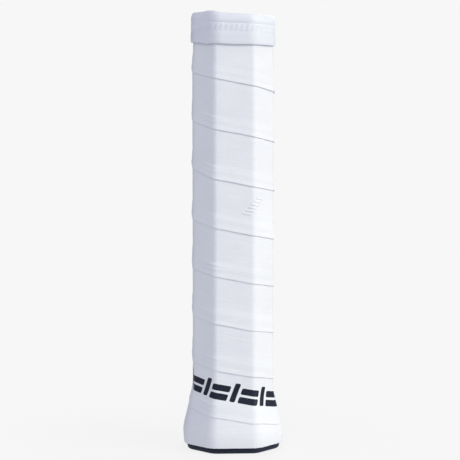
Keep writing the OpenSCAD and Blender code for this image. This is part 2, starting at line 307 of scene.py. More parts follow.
def wave(turn, seed, cycles, size):
    """Slow unevenness along a strip, at most size: three sines whose lengths don't divide each other."""
    total = np.zeros_like(turn)
    most = 1.83
    for i, ratio in enumerate((1.0, 1.73, 2.61)):
        phase = 1.37 * seed * (i + 1)
        total += np.sin(2 * np.pi * turn * cycles * ratio + phase) / (i + 1)
    return size * total / most


def strip_piece(name, winding, turns, heights, inner, outer):
    """A closed strip with an inner and an outer face, given as offsets. Rows climb across its width."""
    stations, rows = heights.shape
    column = turns[:, None] * np.ones((1, rows))
    points = np.concatenate([
        winding.place(column, inner, heights).reshape(-1, 3),
        winding.place(column, outer, heights).reshape(-1, 3),
    ])
    s = np.arange(stations - 1)[:, None]
    r = np.arange(rows - 1)[None, :]
    face = stations * rows

    def at(side, station, row):
        """A point's index. Side 0 is the inner face and side 1 the outer."""
        return side * face + station * rows + row

    def quads(a, b, c, d):
        return np.stack([np.broadcast_arrays(a, b, c, d)], axis=-1).reshape(4, -1).T.tolist()

    s_line, r_line, last, top = s[:, 0], r[0], stations - 1, rows - 1
    faces = []
    for corners in (
        (at(1, s, r), at(1, s, r + 1), at(1, s + 1, r + 1), at(1, s + 1, r)),
        (at(0, s, r), at(0, s + 1, r), at(0, s + 1, r + 1), at(0, s, r + 1)),
        (at(1, s_line, 0), at(1, s_line + 1, 0), at(0, s_line + 1, 0), at(0, s_line, 0)),
        (at(1, s_line + 1, top), at(1, s_line, top), at(0, s_line, top), at(0, s_line + 1, top)),
        (at(1, 0, r_line + 1), at(1, 0, r_line), at(0, 0, r_line), at(0, 0, r_line + 1)),
        (at(1, last, r_line), at(1, last, r_line + 1), at(0, last, r_line + 1), at(0, last, r_line)),
    ):
        faces += quads(*corners)
    piece = new_piece(name, points, faces)
    across = heights - heights[:, :1]
    along = -column * winding.perimeter
    uv = np.stack([along, across], axis=-1).reshape(-1, 2)
    set_uv(piece, np.concatenate([uv, uv]))
    return piece


def strip_area(turns, widths, winding):
    """The flat area of a strip, in square metres."""
    steps = np.diff(turns) * winding.perimeter
    return float((steps * (widths[1:] + widths[:-1]) / 2).sum()) * MM * MM


# ---- Material helpers ----

class Recipe:
    """A short way to write a node material. Most calls add a node and return its output socket."""

    def __init__(self, name):
        self.material = bpy.data.materials.new(name)
        self.material.use_nodes = True
        self.tree = self.material.node_tree
        self.tree.nodes.clear()
        self.shader = self.add("BsdfPrincipled")
        self.surface = self.add("OutputMaterial").inputs["Surface"]
        self.tree.links.new(self.shader.outputs["BSDF"], self.surface)
        self.place = self.add("TexCoord").outputs["Object"]

    def link(self, value, socket):
        """Joins an output socket to an input, or sets the input to a plain value."""
        if isinstance(value, bpy.types.NodeSocket):
            self.tree.links.new(value, socket)
        else:
            socket.default_value = value

    def set(self, **values):
        """Sets the shader's inputs, named in small letters with underscores."""
        names = {name.lower().replace(" ", "_"): name for name in self.shader.inputs.keys()}
        for key, value in values.items():
            self.link(value, self.shader.inputs[names[key]])

    def add(self, kind, **inputs):
        """A new node, with inputs joined or set."""
        node = self.tree.nodes.new("ShaderNode" + kind)
        for name, value in inputs.items():
            self.link(value, node.inputs[name])
        return node

    def flat_place(self):
        """The place on the flat strip, along and across it, in metres."""
        node = self.add("UVMap")
        node.uv_map = "flat"
        return node.outputs["UV"]

    def scaled(self, vector, scale):
        return self.add("Mapping", Vector=vector, Scale=scale).outputs["Vector"]

    def noise(self, scale, detail=3.0, roughness=0.55, vector=None):
        place = self.place if vector is None else vector
        node = self.add("TexNoise", Vector=place, Scale=scale, Detail=detail, Roughness=roughness)
        return node.outputs["Fac"]

    def cells(self, scale, vector=None, randomness=1.0):
        """The distance from the middle of the nearest cell."""
        place = self.place if vector is None else vector
        node = self.add("TexVoronoi", Vector=place, Scale=scale, Randomness=randomness)
        return node.outputs["Distance"]

    def math(self, operation, *values):
        node = self.add("Math")
        node.operation = operation
        for socket, value in zip(node.inputs, values):
            self.link(value, socket)
        return node.outputs[0]

    def glow(self, color):
        return self.add("Emission", Color=(*color, 1)).outputs["Emission"]

    def mix(self, share, first, second):
        node = self.add("MixShader")
        for socket, value in zip(node.inputs, (share, first, second)):
            self.link(value, socket)
        return node.outputs["Shader"]

    def ramp(self, value, *stops):
        """Maps a value to colours. Each stop is (position, (r, g, b))."""
        node = self.add("ValToRGB", Fac=value)
        elements = node.color_ramp.elements
        while len(elements) < len(stops):
            elements.new(0.5)
        for element, (position, color) in zip(elements, stops):
            element.position = position
            element.color = (*color, 1)
        return node.outputs["Color"]

    def span(self, value, from_low, from_high, to_low, to_high, smooth=False):
        """Maps one range of values onto another, evenly or by a smooth step."""
        node = self.add("MapRange")
        if smooth:
            node.interpolation_type = "SMOOTHSTEP"
        names = ("Value", "From Min", "From Max", "To Min", "To Max")
        for name, item in zip(names, (value, from_low, from_high, to_low, to_high)):
            self.link(item, node.inputs[name])
        return node.outputs["Result"]

    def bump(self, *layers):
        """Stacks bump layers, each (height socket, depth in metres)."""
        normal = None
        for height, depth in layers:
            node = self.add("Bump", Strength=1.0, Distance=depth, Height=height)
            if normal is not None:
                self.link(normal, node.inputs["Normal"])
            normal = node.outputs["Normal"]
        return normal


# ---- Materials ----

def tape_material():
    """Soft white polyurethane: a fine tacky grain, faint clouds, and long streaks from being stretched."""
    m = Recipe("white_grip_tape")
    clouds = m.noise(55, 4)
    streaks = m.noise(1, 3, vector=m.scaled(m.flat_place(), (60, 900, 1)))
    grain = m.cells(4200)
    pores = m.noise(2600, 2)
    tone = m.math("ADD", m.math("MULTIPLY", clouds, 0.7), m.math("MULTIPLY", streaks, 0.3))
    color = m.ramp(tone, (0.35, (0.80, 0.815, 0.855)), (0.65, (0.845, 0.86, 0.895)))
    m.set(
        base_color=color,
        roughness=m.span(clouds, 0.3, 0.7, 0.5, 0.6),
        normal=m.bump((grain, 0.000035), (pores, 0.00002), (streaks, 0.00006)),
        specular_ior_level=0.4,
    )
    return m.material


def ink_material():
    """Printed ink: dense navy with the tape's grain showing through."""
    m = Recipe("printed_ink")
    patches = m.noise(900, 3)
    m.set(
        base_color=m.ramp(patches, (0.3, (0.008, 0.011, 0.024)), (0.7, (0.014, 0.018, 0.036))),
        roughness=m.span(patches, 0.3, 0.7, 0.34, 0.46),
        normal=m.bump((m.cells(4200), 0.00002)),
        specular_ior_level=0.22,
    )
    return m.material


def collar_material(name, depth):
    """Milky silicone rubber with faint flow marks. Light goes into it at depth 1, and doesn't at 0."""
    m = Recipe(name)
    flow = m.noise(1, 4, vector=m.scaled(m.place, (70, 70, 420)))
    dust = m.noise(1500, 2)
    m.set(
        base_color=m.ramp(flow, (0.3, (0.735, 0.765, 0.84)), (0.7, (0.795, 0.818, 0.878))),
        roughness=m.span(dust, 0.3, 0.7, 0.45, 0.55),
        normal=m.bump((flow, 0.00012), (dust, 0.00001)),
        specular_ior_level=0.45,
        subsurface_weight=0.12 * depth,
        subsurface_radius=(0.9, 0.95, 1.2),
        subsurface_scale=0.002,
    )
    return m.material


def nylon_material(name, low, high):
    """Moulded nylon with a fine spark-eroded texture and slightly worn sheen."""
    m = Recipe(name)
    grain = m.noise(3800, 3)
    wear = m.noise(120, 4)
    m.set(
        base_color=m.ramp(wear, (0.3, low), (0.75, high)),
        roughness=m.span(wear, 0.3, 0.7, 0.38, 0.55),
        normal=m.bump((grain, 0.00004)),
        specular_ior_level=0.25,
    )
    return m.material


def foam_material(name, low, high, cell_scale):
    """Cut foam: small open cells over a mottled colour."""
    m = Recipe(name)
    cells = m.cells(cell_scale)
    mottle = m.noise(300, 4)
    tone = m.math("ADD", m.math("MULTIPLY", mottle, 0.75), m.math("MULTIPLY", cells, 0.45))
    m.set(
        base_color=m.ramp(tone, (0.3, low), (0.75, high)),
        roughness=0.85,
        normal=m.bump((cells, 0.00025), (mottle, 0.0001)),
    )
    return m.material


def carbon_material():
    """Woven carbon laminate under resin: a small checker of tows, each ribbed along its own way."""
    m = Recipe("carbon_tube")
    place = m.scaled(m.place, (620, 620, 620))
    weave = m.add("TexChecker", Vector=place, Scale=1.0)
    tow = m.noise(1, 3, vector=m.scaled(m.place, (900, 900, 9000)))
    shade = m.math("ADD", m.math("MULTIPLY", weave.outputs["Fac"], 0.35), m.math("MULTIPLY", tow, 0.65))
    m.set(
        base_color=m.ramp(shade, (0.25, (0.012, 0.012, 0.014)), (0.8, (0.055, 0.056, 0.06))),
        roughness=m.span(tow, 0.3, 0.7, 0.24, 0.4),
        normal=m.bump((shade, 0.00008)),
        coat_weight=0.4,
        coat_roughness=0.12,
    )
    return m.material


def base_grip_material():
    """Black cushioned synthetic leather with pebble grain and rows of punched holes."""
    m = Recipe("base_grip_foam")
    flat = m.flat_place()
    holes = m.cells(1, vector=m.scaled(flat, (420, 420, 1)), randomness=0.0)
    hole_edge = m.span(holes, 0.16, 0.24, 0.0, 1.0)
    pebble = m.cells(1900)
    tone = m.math("MULTIPLY", hole_edge, m.span(pebble, 0, 0.6, 0.55, 1.0))
    m.set(
        base_color=m.ramp(tone, (0.0, (0.006, 0.006, 0.007)), (1.0, (0.034, 0.034, 0.038))),
        roughness=m.span(pebble, 0.0, 0.6, 0.5, 0.68),
        normal=m.bump((pebble, 0.00009), (hole_edge, 0.0003)),
    )
    return m.material


def finishing_tape_material():
    """Stretchy black vinyl tape, pulled tight, with faint lines round the handle."""
    m = Recipe("finishing_tape")
    lines = m.noise(1, 3, vector=m.scaled(m.place, (40, 40, 1600)))
    m.set(
        base_color=m.ramp(lines, (0.3, (0.011, 0.011, 0.013)), (0.7, (0.024, 0.024, 0.028))),
        roughness=m.span(lines, 0.3, 0.7, 0.22, 0.36),
        normal=m.bump((lines, 0.00006)),
    )
    return m.material


def adhesive_material():
    """Fibrous double-sided tape."""
    m = Recipe("adhesive_tape")
    fibres = m.noise(1, 4, vector=m.scaled(m.place, (2400, 2400, 160)))
    m.set(
        base_color=m.ramp(fibres, (0.3, (0.70, 0.66, 0.50)), (0.7, (0.84, 0.80, 0.66))),
        roughness=0.6,
        normal=m.bump((fibres, 0.00008)),
    )
    return m.material


def steel_material():
    """Zinc-coated wire with drawing lines."""
    m = Recipe("staple_steel")
    lines = m.noise(1, 3, vector=m.scaled(m.place, (900, 900, 6000)))
    m.set(
        base_color=m.ramp(lines, (0.3, (0.46, 0.47, 0.49)), (0.7, (0.66, 0.67, 0.69))),
        metallic=1.0,
        roughness=m.span(lines, 0.3, 0.7, 0.25, 0.42),
        normal=m.bump((lines, 0.00003)),
    )
    return m.material


white_tape = tape_material()
ink = ink_material()
collar_rubber = collar_material("collar_rubber", 1.0)
collar_marks_rubber = collar_material("collar_marks_rubber", 0.0)
cap_nylon = nylon_material("cap_nylon", (0.010, 0.013, 0.028), (0.018, 0.023, 0.044))
door_nylon = nylon_material("door_nylon", (0.013, 0.017, 0.036), (0.024, 0.030, 0.054))
pallet_foam = foam_material("pallet_foam", (0.50, 0.44, 0.30), (0.74, 0.68, 0.52), 1400)
plug_foam = foam_material("plug_foam", (0.62, 0.56, 0.38), (0.84, 0.78, 0.58), 900)
carbon = carbon_material()
base_grip_leather = base_grip_material()
finishing_vinyl = finishing_tape_material()
adhesive = adhesive_material()
steel = steel_material()


def finish_piece(piece, body, material, slot, *nodes):
    piece.data.materials.clear()
    piece.data.materials.append(material)
    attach(piece, body)
    if nodes:
        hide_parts(*nodes)
    return piece


# ---- Grip tape ----

# The tape starts at turn TAPE_START, under the first whole turn, and ends under the collar. It lies TAPE_REST
# off the base grip, and is uneven by TAPE_SLACK.
tape_path = Winding(flat_steps=8, arc_steps=7)
TAPE_START = -1.65
TAPE_END = 7.86
TAPE_REST = 0.03
TAPE_SLACK = 0.03
EDGE_WAVE = 0.14

# The upper edge is thinner by SKIVE. The next turn steps down off it over a height of LAP_RAMP.
SKIVE = 0.18
SKIVE_WIDTH = 5
LAP_CLEAR = 0.15
LAP_RAMP = 3.8
LAP_START = 0.03

# The lower edge: its rounding, and how far it stands off the turn below over its lowest LIFT_HEIGHT.
EDGE_ROUND = 0.08
EDGE_ROUND_HEIGHT = 0.16
LIFT = 0.2
LIFT_WAVE = 0.07
LIFT_HEIGHT = 2.4

# The turns near SIDE_RISE_TURN were pulled up a little on the left side and the back.
SIDE_RISE = 1.7
SIDE_RISE_TURN = 5.2
SIDE_RISE_SPREAD = 1.2

# Where a turn has its folds, in turns from the middle of the front, how far that varies, how long they are,
# and how they lean.
FOLD_PLACE = 0.118
FOLD_SHIFT = 0.014
FOLD_LENGTH = 0.035
FOLD_LEAN = 9


def seam_height(turn):
    """The lower edge's height, if it were even: a helix, pulled up most near SIDE_RISE_TURN."""
    part = turn - np.floor(turn)
    side_start, front_width, side_end, back_width = 0.07, 0.13, 0.35, 0.5
    side = smooth_step((part - side_start) / front_width) * (1 - smooth_step((part - side_end) / back_width))
    pull = SIDE_RISE * np.exp(-((turn - SIDE_RISE_TURN) / SIDE_RISE_SPREAD) ** 2)
    return FIRST_SEAM + TAPE_LEAD * turn + LEAD_GROWTH * turn ** 2 + pull * side


def tape_low(turn):
    """The lower edge's height, cut off level at the bottom."""
    return np.maximum(TAPE_BOTTOM, seam_height(turn) + wave(turn, 3, 3.1, EDGE_WAVE))


def tape_high(turn):
    """The upper edge's height, cut off level at the top."""
    return np.minimum(TAPE_TOP, seam_height(turn) + TAPE_HEIGHT + wave(turn, 5, 2.3, EDGE_WAVE))


def tape_thickness(turn, z):
    """The tape is skived thinner towards its upper edge, which the next turn covers."""
    return TAPE_THICKNESS - SKIVE * smooth_step(1 - (tape_high(turn) - z) / SKIVE_WIDTH)


def tape_lift(turn, z):
    """The lower edge stands a little proud of the turn below, but not at the bottom, where there is none."""
    rise = z - tape_low(turn)
    near_edge = 1 - smooth_step(rise / LIFT_HEIGHT)
    off_the_bottom = smooth_step((z - 5) / 4)
    return (LIFT + wave(turn, 8, 2.7, LIFT_WAVE)) * near_edge * off_the_bottom


def tape_folds(turn, z):
    """Two shallow folds on the left flat near the front corner, where the tape comes off the turn below."""
    rise = z - tape_low(turn)
    whole = np.floor(turn)
    part = turn - whole - FOLD_PLACE - FOLD_SHIFT * np.sin(3.7 * whole)
    strength = 0.62 + 0.38 * np.sin(2.4 * whole + 1)
    folds = 0
    for depth, height, spread in ((0.5, 5.1, 0.62), (0.28, 3.0, 0.5)):
        folds = folds + depth * np.exp(-((rise - height + FOLD_LEAN * part) / spread) ** 2)
    return strength * np.exp(-(part / FOLD_LENGTH) ** 2) * folds


def tape_offset(turn, z):
    """The inner face's offset: flat on the base grip, and a step up where it laps the turn below."""
    under = tape_high(turn - 1) + LAP_CLEAR
    lapped = smooth_step((turn - 1 - TAPE_START + LAP_START) / LAP_START)
    step = 1 - smooth_step((z - under) / LAP_RAMP)
    slack = TAPE_SLACK * np.sin(z * 0.9 + turn * 11) * np.sin(turn * 23 + z * 0.31)
    raised = lapped * step * (TAPE_THICKNESS - SKIVE + LAYER_GAP)
    return TAPE_INNER + raised + TAPE_REST + slack + tape_lift(turn, z) + tape_folds(turn, z)


def tape_rows(low, high):
    """Rows across the tape: close at the lower edge and the lap, and wide over the body.

    The close rows fill no more than most_close of a strip that is cut narrow.
    """
    close = np.concatenate([[0, 0.03, 0.08, 0.16, 0.4, 0.75], np.linspace(1.1, 8.0, 17)])[None, :]
    most_close = 0.6
    width = (high - low)[:, None]
    close_rows = np.minimum(close, width * close / close[0, -1] * most_close)
    start = close_rows[:, -1:]
    wide_rows = start + (width - start) * np.linspace(0, 1, 21)[None, 1:]
    return low[:, None] + np.concatenate([close_rows, wide_rows], axis=1)


def build_grip_tape():
    turns = tape_path.stations(TAPE_START, TAPE_END)
    heights = tape_rows(tape_low(turns), tape_high(turns))
    column = turns[:, None]
    inner = tape_offset(column, heights)
    rise = heights - heights[:, :1]
    to_rounding = 1 - np.clip(rise / EDGE_ROUND_HEIGHT, 0, 1)
    edge_round = EDGE_ROUND * (1 - np.sqrt(1 - to_rounding ** 2))
    outer = inner + tape_thickness(column, heights) - edge_round
    piece = strip_piece("grip_tape_winding", tape_path, turns, heights, inner, outer)
    finish_piece(piece, "handle", white_tape, "white_grip_tape", "grip_tape")
    area = strip_area(turns, tape_high(turns) - tape_low(turns), tape_path)


def on_tape(along, across, turn, lift):
    """A point off the tape's outer face by lift.

    along is how far right of a turn's start it is, and across how far up from the seam.
    """
    at_turn = turn - along / tape_path.perimeter
    z = seam_height(at_turn) + across
    return tape_path.place(at_turn, tape_offset(at_turn, z) + tape_thickness(at_turn, z) + lift, z)


def pad_grid(width, height, corner, step):
    """A rounded rectangle as a grid: places along and across, and how far each is from the rim."""
    least_columns, least_rows = 7, 9
    columns = max(least_columns, round(width / step) + 1)
    rows = max(least_rows, round(height / step) + 1)
    across = np.repeat(np.linspace(-0.5, 0.5, rows)[:, None] * height, columns, axis=1)
    past = np.clip(np.abs(across) - (height / 2 - corner), 0, corner)
    half = width / 2 - corner + np.sqrt(corner ** 2 - past ** 2)
    along = np.linspace(-1, 1, columns)[None, :] * half
    rim = np.minimum(half - np.abs(along), height / 2 - np.abs(across))
    return along, across, rim


def grid_solid(top, bottom, start):
    """Points and faces of a grid with a top, a bottom and walls between their rims, numbered from start."""
    rows, columns = top.shape[:2]
    under = start + rows * columns
    faces = []
    for i in range(rows - 1):
        for j in range(columns - 1):
            a = i * columns + j
            quad = (a, a + 1, a + columns + 1, a + columns)
            faces.append(tuple(start + k for k in quad))
            faces.append(tuple(under + k for k in reversed(quad)))
    index = np.arange(rows * columns).reshape(rows, columns)
    rim = np.concatenate([index[0], index[1:, -1], index[-1, -2::-1], index[-2:0:-1, 0]]).tolist()
    for k, here in enumerate(rim):
        there = rim[(k + 1) % len(rim)]
        faces.append((start + there, start + here, under + here, under + there))
    return [top.reshape(-1, 3), bottom.reshape(-1, 3)], faces


def pads_piece(name, pads, surface, corner, bevel, step, root=0.05):
    """Many small raised pads as one piece, domed where bevel is above 0, and sunk into the surface by root.

    Each is (centre along, centre across, width, height, lean, thickness). surface gives the point for a place
    along, a place across and a rise.
    """
    points, faces, start = [], [], 0
    for centre_along, centre_across, width, height, lean, thickness in pads:
        along, across, rim = pad_grid(width, height, corner, step)
        dome = np.sqrt(1 - (1 - np.clip(rim / bevel, 0, 1)) ** 2) if bevel else 1.0
        x = centre_along + along + lean * across
        v = centre_across + across
        top = surface(x, v, thickness * dome)
        bottom = surface(x, v, -root)
        pad_points, pad_faces = grid_solid(top, bottom, start)
        points += pad_points
        faces += pad_faces
        start += 2 * rim.size
    return new_piece(name, np.concatenate(points), faces, sharp_angle=60)


def build_print():
    """A generic printed band on the lowest whole turn: leaning pairs of blocks with tall bars between."""
    lean, gap = 0.36, 1.3
    block_width, block_height, second_block = 8.2, 2.9, 4.0
    bar_width, bar_height = 2.4, 8.7
    bottom, upright_line = 7.9, 11.35
    film, stand_off = 0.02, 0.03
    along, end = -37.2, 36

    def pad(low, width, height):
        """A pad that leans about the upright line, with its left side at along if it stood straight."""
        middle = low + height / 2
        return along + width / 2 + lean * (middle - upright_line), middle, width, height, lean, film

    def surface(x, v, rise):
        return on_tape(x, v, 0.0, rise + stand_off)

    pads = []
    while along < end:
        pads.append(pad(bottom, block_width, block_height))
        pads.append(pad(bottom + second_block, block_width, block_height))
        along += block_width + gap
        pads.append(pad(bottom, bar_width, bar_height))
        along += bar_width + gap

    piece = pads_piece("grip_tape_print", pads, surface, corner=0.45, bevel=0, step=0.4, root=0.08)
    finish_piece(piece, "handle", ink, "cap_nylon")


def build_emboss():
    """A small generic embossed mark: six short ribs that climb to the right, halfway up the handle."""
    along, across, turn = 8.7, 13.0, 4.0
    width, height, lean, thickness = 4.3, 0.9, -0.3, 0.2
    pads = [
        (along + 1.3 * i, across + 1.55 * i, width, height, lean, thickness) for i in np.arange(-2.5, 3)
    ]

    def surface(x, v, rise):
        return on_tape(x, v, turn, rise)

    piece = pads_piece("grip_tape_emboss", pads, surface, corner=0.38, bevel=0.4, step=0.12)
    finish_piece(piece, "handle", white_tape, "white_grip_tape")


# ---- Base grip and its finishing tape ----

def build_base_grip():
    """A thick strip, butted turn to turn, whose long edges are bevelled. It is cut level at both ends."""
    path = Winding(flat_steps=6, arc_steps=6)
    start, least_tail = -0.8, 5
    bevel_depth, bevel_width = 0.5, 1.3
    turns = path.stations(start, (BASE_TOP - least_tail - BASE_BOTTOM) / BASE_LEAD)
    low = np.maximum(BASE_BOTTOM, BASE_BOTTOM + BASE_LEAD * turns)
    high = np.minimum(BASE_TOP, BASE_BOTTOM + BASE_LEAD * (turns + 1) - BASE_GAP)
    edge = np.array([0, 0.01, 0.03, 0.06])
    shares = np.concatenate([edge, np.linspace(0.12, 0.88, 12), 1 - edge[::-1]])
    heights = low[:, None] + (high - low)[:, None] * shares[None, :]
    from_edge = np.minimum(heights - low[:, None], high[:, None] - heights)
    bevel = bevel_depth * (1 - smooth_step(from_edge / bevel_width)) ** 2
    inner = BASE_INNER + squeeze(heights)
    piece = strip_piece("base_grip_winding", path, turns, heights, inner, BASE_OUTER - bevel)
    finish_piece(piece, "handle", base_grip_leather, "base_grip_foam", "base_grip")


def build_finishing_tape():
    """Thin tape round the top of the base grip, with its end lapped over its start."""
    path = Winding(flat_steps=8, arc_steps=6)
    start, end, lap_start, lap_length = 0.36, 1.41, 1.355, 0.012
    thickness, stand_off = 0.05, 0.02
    band_low, band_high = band_low_corner.z, band_high_corner.z - 0.1
    turns = path.stations(start, end)
    shares = np.array([0, 0.02, 0.06, 0.25, 0.5, 0.75, 0.94, 0.98, 1.0])
    low = band_low + wave(turns, 2, 2, 0.12)
    high = band_high + wave(turns, 4, 2, 0.08)
    heights = low[:, None] + (high - low)[:, None] * shares[None, :]
    lapped = smooth_step((turns - lap_start) / lap_length)[:, None] * np.ones_like(heights)
    inner = BASE_OUTER + stand_off + (thickness + 0.005) * lapped
    piece = strip_piece("finishing_tape_band", path, turns, heights, inner, inner + thickness)
    finish_piece(piece, "handle", finishing_vinyl, "finishing_tape", "base_grip_finishing_tape")


# ---- Collar ----

# The skin's corners are much rounder than the bore's, which fits the handle.
COLLAR_STEPS = (12, 10)
SKIN_ROUNDING = 4
collar_bore_section = handle_octagon(*COLLAR_STEPS)
collar_skin_section = Octagon(HALF_X, HALF_Y, CORNER_LEG, CORNER_RADIUS + SKIN_ROUNDING, *COLLAR_STEPS)

# Offset and height round the collar's wall: up the outside from the lip, over the top and down the bore.
COLLAR_SKIN = (
    (2.5, 0.0), (2.7, 0.2), (2.82, 0.9), (2.84, 2.2), (2.82, 3.4), (2.77, 4.3), (2.7, 4.9), (2.65, 5.4),
    (2.62, 6.2), (2.6, 8.5), (2.57, 8.85), (2.49, 9.1), (2.55, 9.35), (2.65, 9.8), (2.7, 10.4),
    (2.62, 11.3), (2.4, 12.2), (2.08, 12.95), (1.75, 13.35)
)
COLLAR_BORE = (
    (1.5, 13.3), (1.4, 12.6), (1.4, 10), (1.4, 6.2), (1.5, 5.5), (2.1, 4.7), (2.26, 4.1), (2.28, 1),
    (2.34, 0.12)
)
CURVE_STEPS = 4

# The channel in the skin, where the raised ribs stand: its middle height and its floor's offset.
CHANNEL_MIDDLE = 7.2
CHANNEL_FLOOR = 2.61


def collar_place(flat, height):
    """The height above the floor of a place on the collar.

    It leans down to the right. Both edges are a little uneven, and at the left front corner the upper one
    swells and the lower one sags.
    """
    azimuth = np.arctan2(flat[..., 1], flat[..., 0])
    edge, upper_start = 5, 8.5
    top = smooth_step((height - upper_start) / edge)
    bottom = smooth_step((edge - height) / edge)
    hump = np.exp(-((azimuth + 2.2) / 0.26) ** 2)
    sag = np.exp(-((azimuth + 2.3) / 0.17) ** 2)
    ripple_top = 0.75 * hump + 0.15 * np.sin(3 * azimuth + 0.6) + 0.08 * np.sin(5 * azimuth + 1.4)
    ripple_bottom = -0.55 * sag + 0.14 * np.sin(2 * azimuth + 2.2) + 0.08 * np.sin(5 * azimuth + 0.4)
    level = COLLAR_BOTTOM + height - flat[..., 0] * math.tan(COLLAR_TILT)
    return level + top * ripple_top + bottom * ripple_bottom


def build_collar():
    skin_rings = len(COLLAR_SKIN) * CURVE_STEPS
    rings = []
    for i, (offset, height) in enumerate(rounded_curve(COLLAR_SKIN + COLLAR_BORE, CURVE_STEPS)):
        section = collar_skin_section if i < skin_rings else collar_bore_section
        ring = section.ring(offset, 0.0)
        ring[:, 2] = collar_place(ring[:, :2], height)
        rings.append(ring)
    piece = loft("collar_ring", rings, sharp_angle=80)
    finish_piece(piece, "collar", collar_rubber, "collar_rubber", "collar")


def build_collar_marks():
    """Raised leaning ribs in the collar's channel, evenly spaced all the way round. They spell nothing."""
    section = collar_skin_section
    spacing, width, height, lean, thickness = 2.35, 1.3, 2.9, -0.32, 0.11

    def round_from_front(samples):
        turned = np.roll(samples, -section.front, axis=0)[::-1]
        return np.concatenate([turned, turned[:1]])

    outline = round_from_front(section.ring(CHANNEL_FLOOR, 0.0)[:, :2])
    direction = round_from_front(section.out)
    steps = np.concatenate([[0], np.cumsum(np.linalg.norm(np.diff(outline, axis=0), axis=1))])

    def surface(along, height, rise):
        where = np.mod(along, steps[-1])
        flat = np.stack([np.interp(where, steps, outline[:, i]) for i in (0, 1)], axis=-1)
        out = np.stack([np.interp(where, steps, direction[:, i]) for i in (0, 1)], axis=-1)
        flat = flat + out * np.broadcast_to(rise, where.shape)[..., None]
        return np.concatenate([flat, collar_place(flat, height)[..., None]], axis=-1)

    ribs = round(steps[-1] / spacing)
    pads = [
        (i * steps[-1] / ribs, CHANNEL_MIDDLE, width, height, lean, thickness) for i in range(ribs)
    ]
    piece = pads_piece("collar_ribs", pads, surface, corner=0.6, bevel=0.65, step=0.16)
    finish_piece(piece, "collar", collar_marks_rubber, "collar_rubber")


# ---- Butt cap and door ----

def build_butt_cap():
    """The cap as one skin of rings, each an offset and a height.

    They go up the outside from the rim, down inside the skirt, and out again along the end: the door's
    ledge and opening, a bead round it, the recess and the rim's flat foot.
    """
    lip_top = TAPE_BOTTOM - 0.3
    crest = float(flare(lip_top)) + RIM_LIP
    rim_start = float(flare(RIM_ROUND)) + RIM_LIP - RIM_ROUND
    rim = [
        (rim_start + RIM_ROUND * math.sin(a), RIM_ROUND * (1 - math.cos(a)))
        for a in np.linspace(0, math.pi / 2, 7)
    ]
    lip = [(crest, lip_top - 0.5), (crest - 0.08, lip_top - 0.15), (crest - 0.3, lip_top)]
    side_heights = np.concatenate([[lip_top, 3.4], np.arange(4.2, CAP_HEIGHT - 0.2, 0.9)])
    side = [(float(flare(z)), z) for z in side_heights]
    skirt = [
        (-0.15, CAP_HEIGHT), (-0.85, CAP_HEIGHT), (-SKIRT_WALL, CAP_HEIGHT - 0.4),
        (-SKIRT_WALL, 20), (-SKIRT_WALL, 10), (-SKIRT_WALL, END_THICKNESS + 0.4),
        (-SKIRT_WALL - 0.3, END_THICKNESS)
    ]
    ledge = [
        (0.4 - LEDGE, END_THICKNESS), (-LEDGE, END_THICKNESS - 0.12), (-LEDGE, DOOR_SEAT + 0.1),
        (0.1 - LEDGE, DOOR_SEAT), (-0.12, DOOR_SEAT)
    ]
    opening = [(0, DOOR_SEAT - 0.12), (0, END_RECESS + 0.2), (0.2, END_RECESS)]
    bead = [
        (1.5, END_RECESS), (1.7, END_RECESS - 0.3), (2.2, END_RECESS - 0.42), (2.7, END_RECESS - 0.3),
        (2.9, END_RECESS)
    ]
    foot = float(flare(0)) - RIM_ROUND
    inner_foot = foot - RIM_WIDTH
    recess = [
        (inner_foot - 0.5, END_RECESS), (inner_foot - 0.12, END_RECESS - 0.12), (inner_foot, 0.2),
        (inner_foot + 0.2, 0), (foot - 1, 0)
    ]
    handle = handle_octagon()
    rings = [handle.ring(offset, z) for offset, z in rim + lip + side + skirt]
    rings += [door_octagon(offset).ring(0, z) for offset, z in ledge + opening + bead]
    rings += [handle.ring(offset, z) for offset, z in recess]
    piece = loft("butt_cap_shell", rings, sharp_angle=50)
    finish_piece(piece, "handle", cap_nylon, "cap_nylon", "butt_cap")


def cut_with(piece, cutter):
    """Takes a cutter out of a piece, and removes the cutter."""
    modifier = piece.modifiers.new("cut", "BOOLEAN")
    modifier.operation = "DIFFERENCE"
    modifier.solver = "EXACT"
    modifier.object = cutter
    result = bpy.data.meshes.new_from_object(piece.evaluated_get(bpy.context.evaluated_depsgraph_get()))
    piece.modifiers.clear()
    piece.data = result
    bpy.data.objects.remove(cutter)


def round_bar(name, radius, length, centre, sides=40):
    """A bar along X with rounded ends."""
    angles = np.linspace(0, 2 * np.pi, sides, endpoint=False)
    ends = ((0.6, -0.5), (0.9, -0.47), (1, -0.42), (1, 0.42), (0.9, 0.47), (0.6, 0.5))
    rings = [
        np.column_stack([
            np.full(sides, centre[0] + x * length),
            centre[1] + radius * share * np.cos(angles),
            centre[2] + radius * share * np.sin(angles),
        ])
        for share, x in ends
    ]
    return loft(name, rings, closed=False, caps=True)


